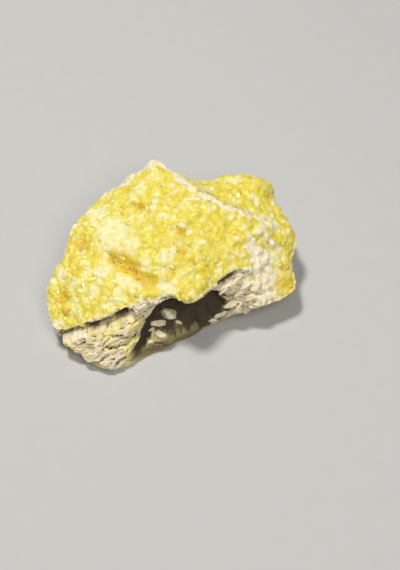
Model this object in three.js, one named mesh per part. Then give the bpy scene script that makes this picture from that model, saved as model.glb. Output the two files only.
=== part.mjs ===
// Native sulfur on limestone: one hand-sized piece of rock, broken from a vein.
//
// The stone is a single natural solid. A crust of granular yellow sulfur covers its top, and
// grows into the pale layered limestone below it. The front is broken: a sloping spur on the
// left, a deep recess under the crust in the middle, and a leaning shoulder on the right.
// It rests on a flat broken base.
//
// Units are millimetres. +X runs along the length, +Y goes to the back, +Z is up. The origin is
// under the middle of the stone, on the surface that it stands on.

import * as THREE from 'three';
import { ImprovedNoise } from 'three/addons/math/ImprovedNoise.js';

// Driving dimensions
const STATIONS = 128;           // upright sections round the stone, at the lip
const ROWS_PER_BAND = 3;        // rows of facets between two contours of the side
const CRUST_ROWS = 13;          // rows of facets from the crust's shoulder to its middle
const BASE_ROWS = 4;            // rows of facets from the foot to the middle of the base
const HALVE_INSIDE = 1.2;       // a row has half the stations inside half this share, and so on
const AXIS = [-8, -3];          // plan position of the upright axis that the sections share
const SHOULDER_INSET = 2.0;     // how far in from the lip the crust becomes a gentle slope
const SHOULDER_RISE = 1.3;      // how much the crust climbs over that inset
const RIM_REACH = 7;            // how far in from the shoulder its height is still felt
const SPOT_REACH = 5.2;         // how far a spot height is felt

// Uneven breakage: size of the lumps, and how far they push the surface out or in
const SIDE_LUMPS = { size: 7.5, depth: 1.0 };
const SIDE_CHIPS = { size: 3.1, depth: 0.8 };
const CRUST_LUMPS = { size: 6.5, depth: 0.6 };
const NOISE_SEED = 37.4;

// Contours of the side, from the base up. Each point is [x, y, z].
const foot = [
  [11, -9, 0], [17, -3, 0], [20, 5, 0], [18, 14, 0], [12, 21, 0], [2, 21, 0], [-10, 22, 0],
  [-21, 18, 0], [-30, 11, 0], [-35, 2, 0], [-37, -8, 0], [-38, -17, 0], [-36.5, -24, 0],
  [-32, -28.6, 0], [-28, -31.4, 0], [-23.5, -32.8, 0], [-15, -27.4, 0], [-7, -22.6, 0],
  [1, -17.8, 0], [5, -14.5, 0],
];

const belly = [
  [12, -15.4, 6], [15.8, -15.7, 7.4], [21.8, -13.8, 8.4], [27.2, -13.4, 8.4], [28.7, -8.5, 9],
  [28.4, 0, 7], [28, 8, 6], [24.5, 17, 6], [20, 26, 7], [12, 28.5, 7], [2, 26, 7],
  [-8, 27, 8], [-16, 26.5, 8], [-25, 21, 7], [-33, 14, 7], [-38, 6, 6], [-41, -2, 5.5], [-43.5, -10, 4.5],
  [-43.8, -18, 4.5], [-41.6, -26.2, 5.6], [-40.2, -28.2, 4.8], [-33.2, -31.8, 4.2],
  [-27.9, -33.9, 3.2], [-23.9, -33.7, 1.6], [-21.6, -31, 2], [-15, -26.6, 3.2],
  [-7, -22, 3.8], [0, -18.4, 3.8], [4.4, -16.8, 3.6], [7.4, -16.6, 4.6],
];

const face = [
  [15.8, -13.6, 10.6], [21.8, -10, 10.8], [27.6, -9.4, 10], [28.8, -5, 10.4], [28.6, -1.6, 10],
  [28.8, 2, 9.5], [29, 9.5, 10.5], [26.2, 18, 11], [21.5, 27, 11.5], [12, 30.5, 12],
  [3, 27.5, 13], [-7, 27.8, 14], [-15, 29, 15], [-24, 24.5, 14], [-32, 17.5, 13],
  [-38, 9, 12], [-40.6, 0, 11], [-44, -7, 9.5], [-45.4, -14, 7.5], [-44, -22, 6.4],
  [-41, -26.6, 6.2], [-37.2, -27.2, 6.8], [-32.6, -27.6, 7.8], [-27.8, -28, 8.6],
  [-21.6, -27.4, 8.6], [-18, -26, 7.6], [-15.6, -22.4, 7.6], [-12.4, -18.8, 8],
  [-8, -17.4, 8.4], [-4, -17, 8.4], [0, -16, 8], [3.4, -14.8, 8], [5.6, -14.6, 9],
  [10.7, -14, 10],
];

const recess = [
  [15.6, -9.6, 14.4], [21.8, -4, 14.2], [27.4, -3, 12.4], [29, -1.6, 11.8], [28.6, 2, 12],
  [29.4, 9.5, 13], [26.4, 18, 13.8], [21.2, 29, 14.6], [11, 31.6, 16],
  [3, 28, 17], [-6, 27.6, 19.5], [-14, 30.4, 21], [-24, 25, 19], [-32.8, 17.6, 17],
  [-38.6, 9.5, 15.5], [-41, 0, 13.6], [-44.8, -7, 11], [-46, -13.5, 8.4],
  [-44.6, -20.8, 7.2], [-41.2, -24.2, 6.6], [-34.8, -22.6, 9.4], [-27.4, -21.6, 12.2],
  [-22.4, -22.6, 13], [-17, -21.6, 13.6], [-13.9, -20.8, 13.6], [-12, -17.6, 13.4],
  [-8.4, -16, 13.4], [-4.6, -15.4, 13], [-1, -14.4, 13], [3, -13, 13.4], [6.6, -13.4, 14],
  [11, -11.4, 14.4],
];

const lip = [
  [15.3, -6.6, 17.4], [16.3, -2.4, 18.8], [16.8, 0.6, 19.4], [22, 3, 17.6], [28, 5, 14.4],
  [29.4, 9.5, 14.4], [26.6, 18, 15.4], [21.8, 21.8, 16], [21.4, 30, 16], [16.8, 32.1, 17],
  [11, 32, 18], [6.1, 30.4, 18], [0.6, 27.1, 19], [-5.1, 27, 22], [-8.5, 28.1, 23.6],
  [-13.9, 30.7, 25], [-19.2, 28.3, 23], [-23.4, 25.9, 22], [-25.9, 23.6, 21],
  [-29.6, 21.7, 20], [-32.9, 17.6, 19], [-37.4, 13, 18], [-39.9, 8.8, 17],
  [-40.3, 3.5, 16], [-41.4, -0.4, 15], [-44, -3.5, 14], [-45.4, -7.7, 12],
  [-46, -13.1, 9.6], [-45.3, -18, 8.4], [-44, -21.6, 7.6], [-41.4, -24.6, 7.2],
  [-35.4, -23.8, 10.6], [-27.7, -22.8, 13.8], [-23.6, -22.5, 15.4], [-17.8, -20.6, 16.8],
  [-11.9, -19.5, 17.8], [-8.5, -19.7, 18.4], [-5.8, -21.4, 18.8], [-4.1, -23.3, 18.8],
  [-0.3, -21.4, 18.4], [2.4, -17.6, 18.2], [6.2, -12.8, 17.8], [9, -10.4, 17.6],
];

const SIDE = [foot, belly, face, recess, lip];

// Knobs that stand out of the recess's wall: [x, y, z, reach, height]
const KNOBS = [
  [-9, -18, 10.4, 2.2, 2.4],
  [-11.4, -19.6, 8.4, 2.2, 2.2],
  [-14, -22.4, 6.4, 2.2, 2.0],
];

// Spot heights of the crust inside its shoulder
const SPOTS = [
  [-15.5, 22, 25.5], [-23.5, 17, 23.5], [-29.5, 11, 21.5], [-35, 4, 19], [-38, -3, 16.5],
  [-41.5, -11, 13], [-41, -19, 10], [-32.5, -20, 13.4], [-34.5, -10, 16.5], [-30.5, -0.5, 19.5],
  [-25, 6.5, 22], [-18.5, 9.5, 23.5], [-11, 13, 25], [-4.5, 12.5, 25.5], [-12, 0, 23.8],
  [-5, 3, 24.5], [-21, -2.5, 21.5], [-22.5, -9, 19.6], [-15, -14, 20], [-25, -16.5, 17],
  [-16, -18, 18.6], [-8.5, -8.5, 22.8], [-7.5, -17, 20.4], [0, -16.5, 20.4], [0, -6.5, 22.4],
  [7.5, -8, 20.4], [10.5, -0.5, 22], [4.5, 2, 23.6], [13, -3, 20.6], [12, 5.5, 23],
  [15.5, 2, 21.4], [18, 5.5, 20.2], [24, 6.5, 17.2], [7, 21, 21.5], [13, 24.5, 20], [17.5, 23.5, 19],
  [18, 16.5, 19.5], [23, 10, 17.6], [26, 12, 16.4],
];

// Long features of the crust: a line in plan, how high it stands, and how wide it is
const CREASES = [
  {
    height: 1.4,
    width: 2.6,
    line: [[-7, 24], [-3, 20.5], [1.5, 17.5], [7, 14], [14.5, 9.5], [20, 6]],
  },
  {
    height: -1.3,
    width: 2.8,
    line: [[-33.5, -2], [-28.5, -5], [-24, -7.6], [-19.5, -12], [-15, -15.5]],
  },
  {
    height: -0.9,
    width: 2.4,
    line: [[-23, 13], [-21, 9.5], [-17.5, 8.5]],
  },
];

const noise = new ImprovedNoise();

/** Smooth noise at a point, from about -depth to depth, with lumps of the given size. */
function lumps(x, y, z, { size, depth }) {
  return depth * noise.noise(x / size + NOISE_SEED, y / size + NOISE_SEED, z / size);
}

/** A bell that is 1 at no distance and has nearly gone at twice its reach. */
function bell(distance, reach) {
  return Math.exp(-((distance / reach) ** 2));
}

/** A contour as [azimuth, radius, height] about the axis, in order of azimuth. */
function polar(contour) {
  return contour
    .map(([x, y, z]) => {
      const dx = x - AXIS[0];
      const dy = y - AXIS[1];
      return [Math.atan2(dy, dx), Math.hypot(dx, dy), z];
    })
    .sort((a, b) => a[0] - b[0]);
}

/** The contour's radius and height at an azimuth, straight between its points. */
function at(ring, azimuth) {
  const turn = 2 * Math.PI;
  const first = ring[0];
  const last = ring[ring.length - 1];
  const wrapped = [
    [last[0] - turn, last[1], last[2]],
    ...ring,
    [first[0] + turn, first[1], first[2]],
  ];
  const next = wrapped.findIndex((point) => point[0] > azimuth);
  const [a, b] = [wrapped[next - 1], wrapped[next]];
  const share = (azimuth - a[0]) / (b[0] - a[0]);
  return [THREE.MathUtils.lerp(a[1], b[1], share), THREE.MathUtils.lerp(a[2], b[2], share)];
}

/** The distance in plan from a point to a line of points. */
function distanceTo(line, x, y) {
  const here = new THREE.Vector3(x, y, 0);
  const points = line.map(([px, py]) => new THREE.Vector3(px, py, 0));
  const spans = points.slice(1).map((end, i) => new THREE.Line3(points[i], end));
  const nearest = new THREE.Vector3();
  return Math.min(
    ...spans.map((span) => span.closestPointToPoint(here, true, nearest).distanceTo(here)),
  );
}

/** Height of the crust at a point that lies some way inside a shoulder of the given height. */
function crustHeight(x, y, inside, shoulderZ) {
  let weights = 0;
  let sum = 0;
  for (const [sx, sy, sz] of SPOTS) {
    const weight = bell(Math.hypot(x - sx, y - sy), SPOT_REACH) + 1e-9;
    weights += weight;
    sum += weight * sz;
  }
  const settled = THREE.MathUtils.smoothstep(inside, 0, RIM_REACH);
  let height = THREE.MathUtils.lerp(shoulderZ, sum / weights, settled);
  for (const crease of CREASES) {
    height += settled * crease.height * bell(distanceTo(crease.line, x, y), crease.width);
  }
  return height + lumps(x, y, 0, CRUST_LUMPS);
}

/** How far breakage and knobs push a point of the side outwards. */
function sidePush(x, y, z) {
  let push = lumps(x, y, z, SIDE_LUMPS) + lumps(x, y, z, SIDE_CHIPS);
  for (const [kx, ky, kz, reach, height] of KNOBS) {
    push += height * bell(Math.hypot(x - kx, y - ky, z - kz), reach);
  }
  return push;
}

/** The number of stations in a row whose radius is this share of the full one. */
function stationsAt(share) {
  const halvings = Math.max(0, Math.floor(Math.log2(HALVE_INSIDE / share)));
  return STATIONS / 2 ** halvings;
}

/** One row of points round the stone. place(azimuth) gives each one. */
function row(count, place) {
  return Array.from({ length: count }, (_, i) => place((2 * Math.PI * i) / count - Math.PI));
}

/** The point at an azimuth, radius and height. */
function fromAxis(azimuth, radius, z) {
  return [AXIS[0] + radius * Math.cos(azimuth), AXIS[1] + radius * Math.sin(azimuth), z];
}

/** Rows of the flat base, from the middle out to just inside the foot. */
function baseRows() {
  const ring = polar(foot);
  return Array.from({ length: BASE_ROWS - 1 }, (_, i) => (i + 1) / BASE_ROWS).map((share) =>
    row(stationsAt(share), (azimuth) => fromAxis(azimuth, at(ring, azimuth)[0] * share, 0)),
  );
}

/** Rows of the side, from the foot up to the lip. */
function sideRows() {
  const rings = SIDE.map(polar);
  const rows = [];
  for (let band = 0; band + 1 < rings.length; band++) {
    for (let step = 0; step < ROWS_PER_BAND; step++) {
      const share = step / ROWS_PER_BAND;
      rows.push(
        row(STATIONS, (azimuth) => {
          const [low, high] = [at(rings[band], azimuth), at(rings[band + 1], azimuth)];
          const radius = THREE.MathUtils.lerp(low[0], high[0], share);
          const z = THREE.MathUtils.lerp(low[1], high[1], share);
          const [x, y] = fromAxis(azimuth, radius, z);
          return fromAxis(azimuth, radius + (z > 0 ? sidePush(x, y, z) : 0), z);
        }),
      );
    }
  }
  const top = rings[rings.length - 1];
  rows.push(row(STATIONS, (azimuth) => fromAxis(azimuth, ...at(top, azimuth))));
  return rows;
}

/** Rows of the crust, from its shoulder in towards the middle. */
function crustRows() {
  const ring = polar(lip);
  return Array.from({ length: CRUST_ROWS }, (_, i) => 1 - i / CRUST_ROWS).map((share) =>
    row(stationsAt(share), (azimuth) => {
      const [lipRadius, lipZ] = at(ring, azimuth);
      const shoulder = lipRadius - SHOULDER_INSET;
      const [x, y] = fromAxis(azimuth, shoulder * share, 0);
      return [x, y, crustHeight(x, y, shoulder * (1 - share), lipZ + SHOULDER_RISE)];
    }),
  );
}

/** Facets between two rows. One has as many stations as the other, half of them, or twice. */
function stitch(lower, upper, points) {
  const count = Math.max(lower.count, upper.count);
  const index = (ring, i) => ring.start + (Math.floor((i * ring.count) / count) % ring.count);
  const apart = (i, j) => Math.hypot(...points[i].map((value, k) => value - points[j][k]));
  const triangles = [];
  for (let i = 0; i < count; i++) {
    const [a, b] = [index(lower, i), index(lower, i + 1)];
    const [c, d] = [index(upper, i), index(upper, i + 1)];
    if (a === b) {
      triangles.push(a, d, c);
    } else if (c === d) {
      triangles.push(a, b, c);
    } else if (apart(a, d) < apart(b, c)) {
      triangles.push(a, b, d, a, d, c);
    } else {
      triangles.push(a, b, c, b, d, c);
    }
  }
  return triangles;
}

/** Closes the rows into one surface, with its origin under the middle of its box. */
function stoneGeometry() {
  const middle = crustHeight(AXIS[0], AXIS[1], RIM_REACH, 0);
  const rows = [
    [[...AXIS, 0]],
    ...baseRows(),
    ...sideRows(),
    ...crustRows(),
    [[...AXIS, middle]],
  ];
  const points = rows.flat();
  const rings = [];
  let start = 0;
  for (const { length } of rows) {
    rings.push({ start, count: length });
    start += length;
  }
  const geometry = new THREE.BufferGeometry();
  geometry.setAttribute('position', new THREE.Float32BufferAttribute(points.flat(), 3));
  geometry.setIndex(rings.slice(1).flatMap((upper, i) => stitch(rings[i], upper, points)));
  geometry.computeBoundingBox();
  const box = geometry.boundingBox;
  const centre = box.getCenter(new THREE.Vector3());
  return geometry.translate(-centre.x, -centre.y, -box.min.z);
}

const sulfurRock = new THREE.MeshStandardMaterial({
  name: 'sulfur_rock',
  color: 0xd9c73c,
  roughness: 0.6,
  metalness: 0,
});

const stone = new THREE.Mesh(stoneGeometry(), sulfurRock);
stone.name = 'sulfur_stone';

const specimen = new THREE.Group();
specimen.name = 'native_sulfur_specimen';
specimen.add(stone);

export default specimen;
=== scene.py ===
"""Native sulfur specimen: a broken piece of pale limestone under a crust of granular yellow sulfur.

The stone is one natural solid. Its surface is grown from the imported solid: the crust gets lumps,
hollows and intergrown grains, and the limestone gets bedding ledges, chips and cracks. Broken ends
of beds stand in the hollow under the crust, and small faceted crystals sit in the crust. Lengths
are in millimetres until a mesh is written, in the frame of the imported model.
"""

import logging
import math
from dataclasses import dataclass, field
from enum import Enum

import bmesh
import bpy
import numpy as np
from mathutils import Matrix, Vector
from mathutils.kdtree import KDTree


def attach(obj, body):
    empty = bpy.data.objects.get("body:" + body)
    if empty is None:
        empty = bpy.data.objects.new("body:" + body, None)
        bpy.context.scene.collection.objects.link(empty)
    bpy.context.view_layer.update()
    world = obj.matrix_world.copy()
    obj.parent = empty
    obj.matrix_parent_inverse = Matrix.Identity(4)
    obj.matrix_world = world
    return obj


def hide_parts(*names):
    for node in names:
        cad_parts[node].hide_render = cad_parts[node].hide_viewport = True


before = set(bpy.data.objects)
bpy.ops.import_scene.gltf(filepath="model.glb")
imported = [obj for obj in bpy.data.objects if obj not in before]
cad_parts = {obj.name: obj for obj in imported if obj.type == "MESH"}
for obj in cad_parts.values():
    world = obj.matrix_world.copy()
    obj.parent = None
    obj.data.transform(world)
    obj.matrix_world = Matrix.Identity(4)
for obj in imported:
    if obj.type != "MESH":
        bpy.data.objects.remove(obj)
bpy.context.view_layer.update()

MM = 0.001
BED_STRETCH = 3.0
BED_SPAN = 40.0
STONE_NODE = "sulfur_stone"
log = logging.getLogger("specimen")

Line = tuple[tuple[float, ...], ...]
Colour = tuple[float, float, float]
Mesh = bpy.types.Mesh
Shape = bmesh.types.BMesh
Socket = bpy.types.NodeSocket


class Slot(Enum):
    """Material slots of the record that the pieces take their finish from."""

    ROCK = "sulfur_rock"
    CRYSTAL = "sulfur_crystal"


class Habit(Enum):
    """Shapes that the small crystals grow in."""

    GRAIN = "grain"
    DIPYRAMID = "dipyramid"


def unit(values: np.ndarray) -> np.ndarray:
    """Keep numbers between 0 and 1."""
    return np.clip(values, 0.0, 1.0)


def smoothstep(values: np.ndarray, low: float, high: float) -> np.ndarray:
    """Ease from 0 where the values are low to 1 where they are high."""
    share = unit((values - low) / (high - low))
    return share * share * (3.0 - 2.0 * share)


def bell(away: np.ndarray, reach: float) -> np.ndarray:
    """Fall from 1 to nothing, softly, as the distance passes the reach."""
    return np.exp(-((away / reach) ** 2))


def nearest_on(points: np.ndarray, line: Line) -> np.ndarray:
    """Nearest places on a line of straight spans, in as many dimensions as the line has.

    Args:
        points: Places, one a row.
        line: Corners of the line.

    Returns:
        One place on the line for each point.
    """
    corners = np.array(line)
    spot = points[:, : corners.shape[1]]
    best, place = np.full(len(spot), np.inf), np.zeros_like(spot)
    for start, end in zip(corners[:-1], corners[1:]):
        along = end - start
        share = unit(((spot - start) @ along) / (along @ along))
        here = start + share[:, None] * along
        away = np.linalg.norm(spot - here, axis=1)
        place = np.where((away < best)[:, None], here, place)
        best = np.minimum(best, away)
    return place


def line_distance(points: np.ndarray, line: Line) -> np.ndarray:
    """Distance from points to a line, in as many dimensions as the line has."""
    return np.linalg.norm(points[:, : len(line[0])] - nearest_on(points, line), axis=1)


def inside_outline(points: np.ndarray, outline: np.ndarray) -> np.ndarray:
    """Tell which points lie inside a closed outline in plan.

    Args:
        points: Places, one a row.
        outline: Corners of the outline in plan, in order.

    Returns:
        True for each point inside.
    """
    x, y = points[:, 0], points[:, 1]
    inside = np.zeros(len(points), dtype=bool)
    for (ax, ay), (bx, by) in zip(outline, np.roll(outline, -1, axis=0)):
        crosses = (ay > y) != (by > y)
        inside ^= crosses & (x < ax + (y - ay) * (bx - ax) / (by - ay + 1e-12))
    return inside


def read(items: object, name: str, width: int = 1, kind: type = float) -> np.ndarray:
    """Read one property of all the vertices, edges or faces of a mesh.

    Args:
        items: The collection to read from.
        name: Name of the property.
        width: How many numbers each item has.
        kind: Type of the numbers.

    Returns:
        One row for each item, or one number where the width is 1.
    """
    flat = np.empty(len(items) * width, dtype=kind)
    items.foreach_get(name, flat)
    return flat.reshape(-1, width) if width > 1 else flat


def relax(shape: Shape, verts: object, factor: float) -> None:
    """Smooth some points of a shape in all three directions."""
    bmesh.ops.smooth_vert(shape, verts=verts, factor=factor,
                          use_axis_x=True, use_axis_y=True, use_axis_z=True)


def cleave(shape: Shape, cuts: list[tuple[Vector, float]]) -> None:
    """Cut a block down by flat cuts, and close each one.

    Args:
        shape: The block, round the origin.
        cuts: Direction of each cut, and how far from the middle it is.
    """
    for way, reach in cuts:
        across = way.normalized()
        bmesh.ops.bisect_plane(
            shape, geom=[*shape.verts, *shape.edges, *shape.faces],
            plane_co=across * reach, plane_no=across, clear_outer=True)
        rim = [edge for edge in shape.edges if edge.is_boundary]
        bmesh.ops.holes_fill(shape, edges=rim, sides=0)
    bmesh.ops.remove_doubles(shape, verts=shape.verts, dist=0.03)
    bmesh.ops.dissolve_degenerate(shape, edges=shape.edges, dist=0.01)
    bmesh.ops.recalc_face_normals(shape, faces=shape.faces)


def add_copy(shape: Shape, mesh: Mesh, matrix: Matrix) -> int:
    """Add a turned and moved copy of a mesh to a shape.

    Args:
        shape: The shape that grows.
        mesh: What to copy.
        matrix: Where the copy goes.

    Returns:
        How many points the copy has.
    """
    start = len(shape.verts)
    shape.from_mesh(mesh)
    shape.verts.ensure_lookup_table()
    bmesh.ops.transform(shape, matrix=matrix, verts=shape.verts[start:])
    return len(shape.verts) - start


def to_mesh(shape: Shape, name: str) -> Mesh:
    """Turn a finished shape into a mesh.

    Args:
        shape: The shape, which is freed.
        name: Name of the mesh.

    Returns:
        The mesh.
    """
    mesh = bpy.data.meshes.new(name)
    shape.to_mesh(mesh)
    shape.free()
    return mesh


def to_scene(name: str, data: bpy.types.ID) -> bpy.types.Object:
    """Put a mesh, a light or a camera in the scene.

    Args:
        name: Name of its object.
        data: The mesh, light or camera.

    Returns:
        The object.
    """
    thing = bpy.data.objects.new(name, data)
    bpy.context.scene.collection.objects.link(thing)
    return thing


def store(mesh: Mesh, name: str, *channels: np.ndarray) -> None:
    """Store three numbers from 0 to 1 for each point, under a name that a finish reads."""
    layer = mesh.color_attributes.new(name, "FLOAT_COLOR", "POINT")
    layer.data.foreach_set("color", np.stack([*channels, np.ones_like(channels[0])], axis=1).ravel())


def store_places(mesh: Mesh, name: str, places: np.ndarray) -> None:
    """Store a place for each point, under a name that a finish reads."""
    mesh.attributes.new(name, "FLOAT_VECTOR", "POINT").data.foreach_set("vector", places.ravel())


class Noise:
    """Smooth seeded noise, worked out for many points at once."""

    def __init__(self, seed: int) -> None:
        """Draw the noise's directions.

        Args:
            seed: Which pattern this is.
        """
        draw = np.random.default_rng(seed)
        self.order = np.tile(draw.permutation(256), 2)
        ways = draw.normal(size=(256, 3))
        self.ways = ways / np.linalg.norm(ways, axis=1, keepdims=True)

    def at(self, points: np.ndarray, size: float) -> np.ndarray:
        """Work out the noise.

        Args:
            points: Places.
            size: Size of the lumps.

        Returns:
            A number from about -1 to 1 for each point.
        """
        spot = points / size
        cell = np.floor(spot).astype(int)
        part = spot - cell
        ease = part**3 * (part * (part * 6.0 - 15.0) + 10.0)
        total = np.zeros(len(points))
        for corner in np.ndindex(2, 2, 2):
            index = np.zeros(len(points), dtype=int)
            for axis in range(3):
                index = self.order[(index + cell[:, axis] + corner[axis]) & 255]
            weight = np.where(np.array(corner) == 1, ease, 1.0 - ease).prod(axis=1)
            total += weight * (self.ways[index] * (part - corner)).sum(axis=1)
        return 1.6 * total

    def layers(self, points: np.ndarray, size: float, octaves: int = 3) -> np.ndarray:
        """Add up finer and finer noise, which starts with lumps of the size given."""
        return sum(0.5**k * self.at(points + 31.7 * k, size / 2.0**k) for k in range(octaves))


class Cells:
    """Cells scattered over a surface, such as grains or broken chips."""

    def __init__(self, points: np.ndarray, spacing: float, area: float, seed: int) -> None:
        """Scatter the cells and find the cell that each point belongs to.

        Args:
            points: Points spread evenly over the surface.
            spacing: Typical distance between two cells.
            area: Area of the surface.
            seed: Which scatter this is.
        """
        self.draw = np.random.default_rng(seed)
        self.count = int(area / spacing**2)
        chosen = self.draw.choice(len(points), self.count, replace=False)
        places = points[chosen] + self.draw.normal(scale=0.1, size=(self.count, 3))
        tree = KDTree(self.count)
        for index, place in enumerate(places):
            tree.insert(place, index)
        tree.balance()
        found = [tree.find_n(point, 2) for point in points]
        self.owner = np.array([pair[0][1] for pair in found])
        self.near = np.array([pair[0][2] for pair in found])
        self.gap = (np.array([pair[1][2] for pair in found]) - self.near) / spacing
        self.reach = points - places[self.owner]

    def facets(self, tilt: float, level: float) -> np.ndarray:
        """Height of the flat, tilted top that each cell has.

        Args:
            tilt: Typical slope of a top.
            level: Typical difference in height between two tops.

        Returns:
            The height at each point.
        """
        slopes = self.draw.normal(scale=tilt, size=(self.count, 3))
        levels = self.draw.normal(scale=level, size=self.count)
        return levels[self.owner] + (slopes[self.owner] * self.reach).sum(axis=1)

    def spots(self, smallest: float, largest: float, share: float) -> np.ndarray:
        """Round spots, one in the middle of some of the cells.

        Args:
            smallest: Radius of the smallest spot.
            largest: Radius of the largest spot.
            share: How many of the cells have a spot.

        Returns:
            1 inside a spot and 0 outside.
        """
        size = self.draw.uniform(smallest, largest, self.count)
        size[self.draw.random(self.count) > share] = -1.0
        return smoothstep(size[self.owner] - self.near, -0.6, 0.35)

    def tone(self) -> np.ndarray:
        """A number of its own for each cell, from 0 to 1."""
        return self.draw.random(self.count)[self.owner]

    def domes(self) -> np.ndarray:
        """Rounded tops, 1 in the middle of a cell and 0 in the crease between two."""
        return smoothstep(self.gap, 0.0, 0.7)


@dataclass(frozen=True)
class Patch:
    """A round patch on the stone: where it is, how far it reaches, and how strong it is."""

    place: tuple[float, ...]
    reach: float
    strength: float = 1.0

    def over(self, points: np.ndarray) -> np.ndarray:
        """The patch's strength at each point, full in the middle."""
        return self.strength * bell(np.linalg.norm(points - np.array(self.place), axis=1), self.reach)


@dataclass(frozen=True)
class Streak:
    """A long patch on the stone, along a line in plan or in space."""

    line: Line
    width: float
    strength: float = 1.0

    def over(self, points: np.ndarray) -> np.ndarray:
        """The streak's strength at each point, full on the line."""
        return self.strength * bell(line_distance(points, self.line), self.width)


Marks = tuple[Patch | Streak, ...]


def patches(*rows: tuple[float, ...]) -> tuple[Patch, ...]:
    """Patches from rows of three coordinates, a reach and a strength."""
    return tuple(Patch(row[:3], *row[3:]) for row in rows)


def strongest(points: np.ndarray, marks: Marks) -> np.ndarray:
    """The largest strength that any of the marks has at each point."""
    return np.max([mark.over(points) for mark in marks], axis=0)


CRUST_EDGE = (
    (-35.7, -20.5), (-33.1, -23.5), (-27.1, -22.7), (-19.4, -21.7), (-15.3, -21.4),
    (-9.5, -19.5), (-3.6, -18.4), (-0.2, -18.6), (2.5, -20.3), (4.2, -22.2), (8.0, -20.3),
    (10.7, -16.5), (14.5, -11.7), (17.3, -9.3), (21.0, -7.4), (23.6, -6.0), (24.2, -8.4),
    (26.0, -11.0), (28.4, -12.8), (32.0, -13.4), (37.0, -13.4),
)
BACK_CORNERS = ((60.0, -12.0), (60.0, 60.0), (-60.0, 60.0), (-60.0, -20.5))


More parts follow.
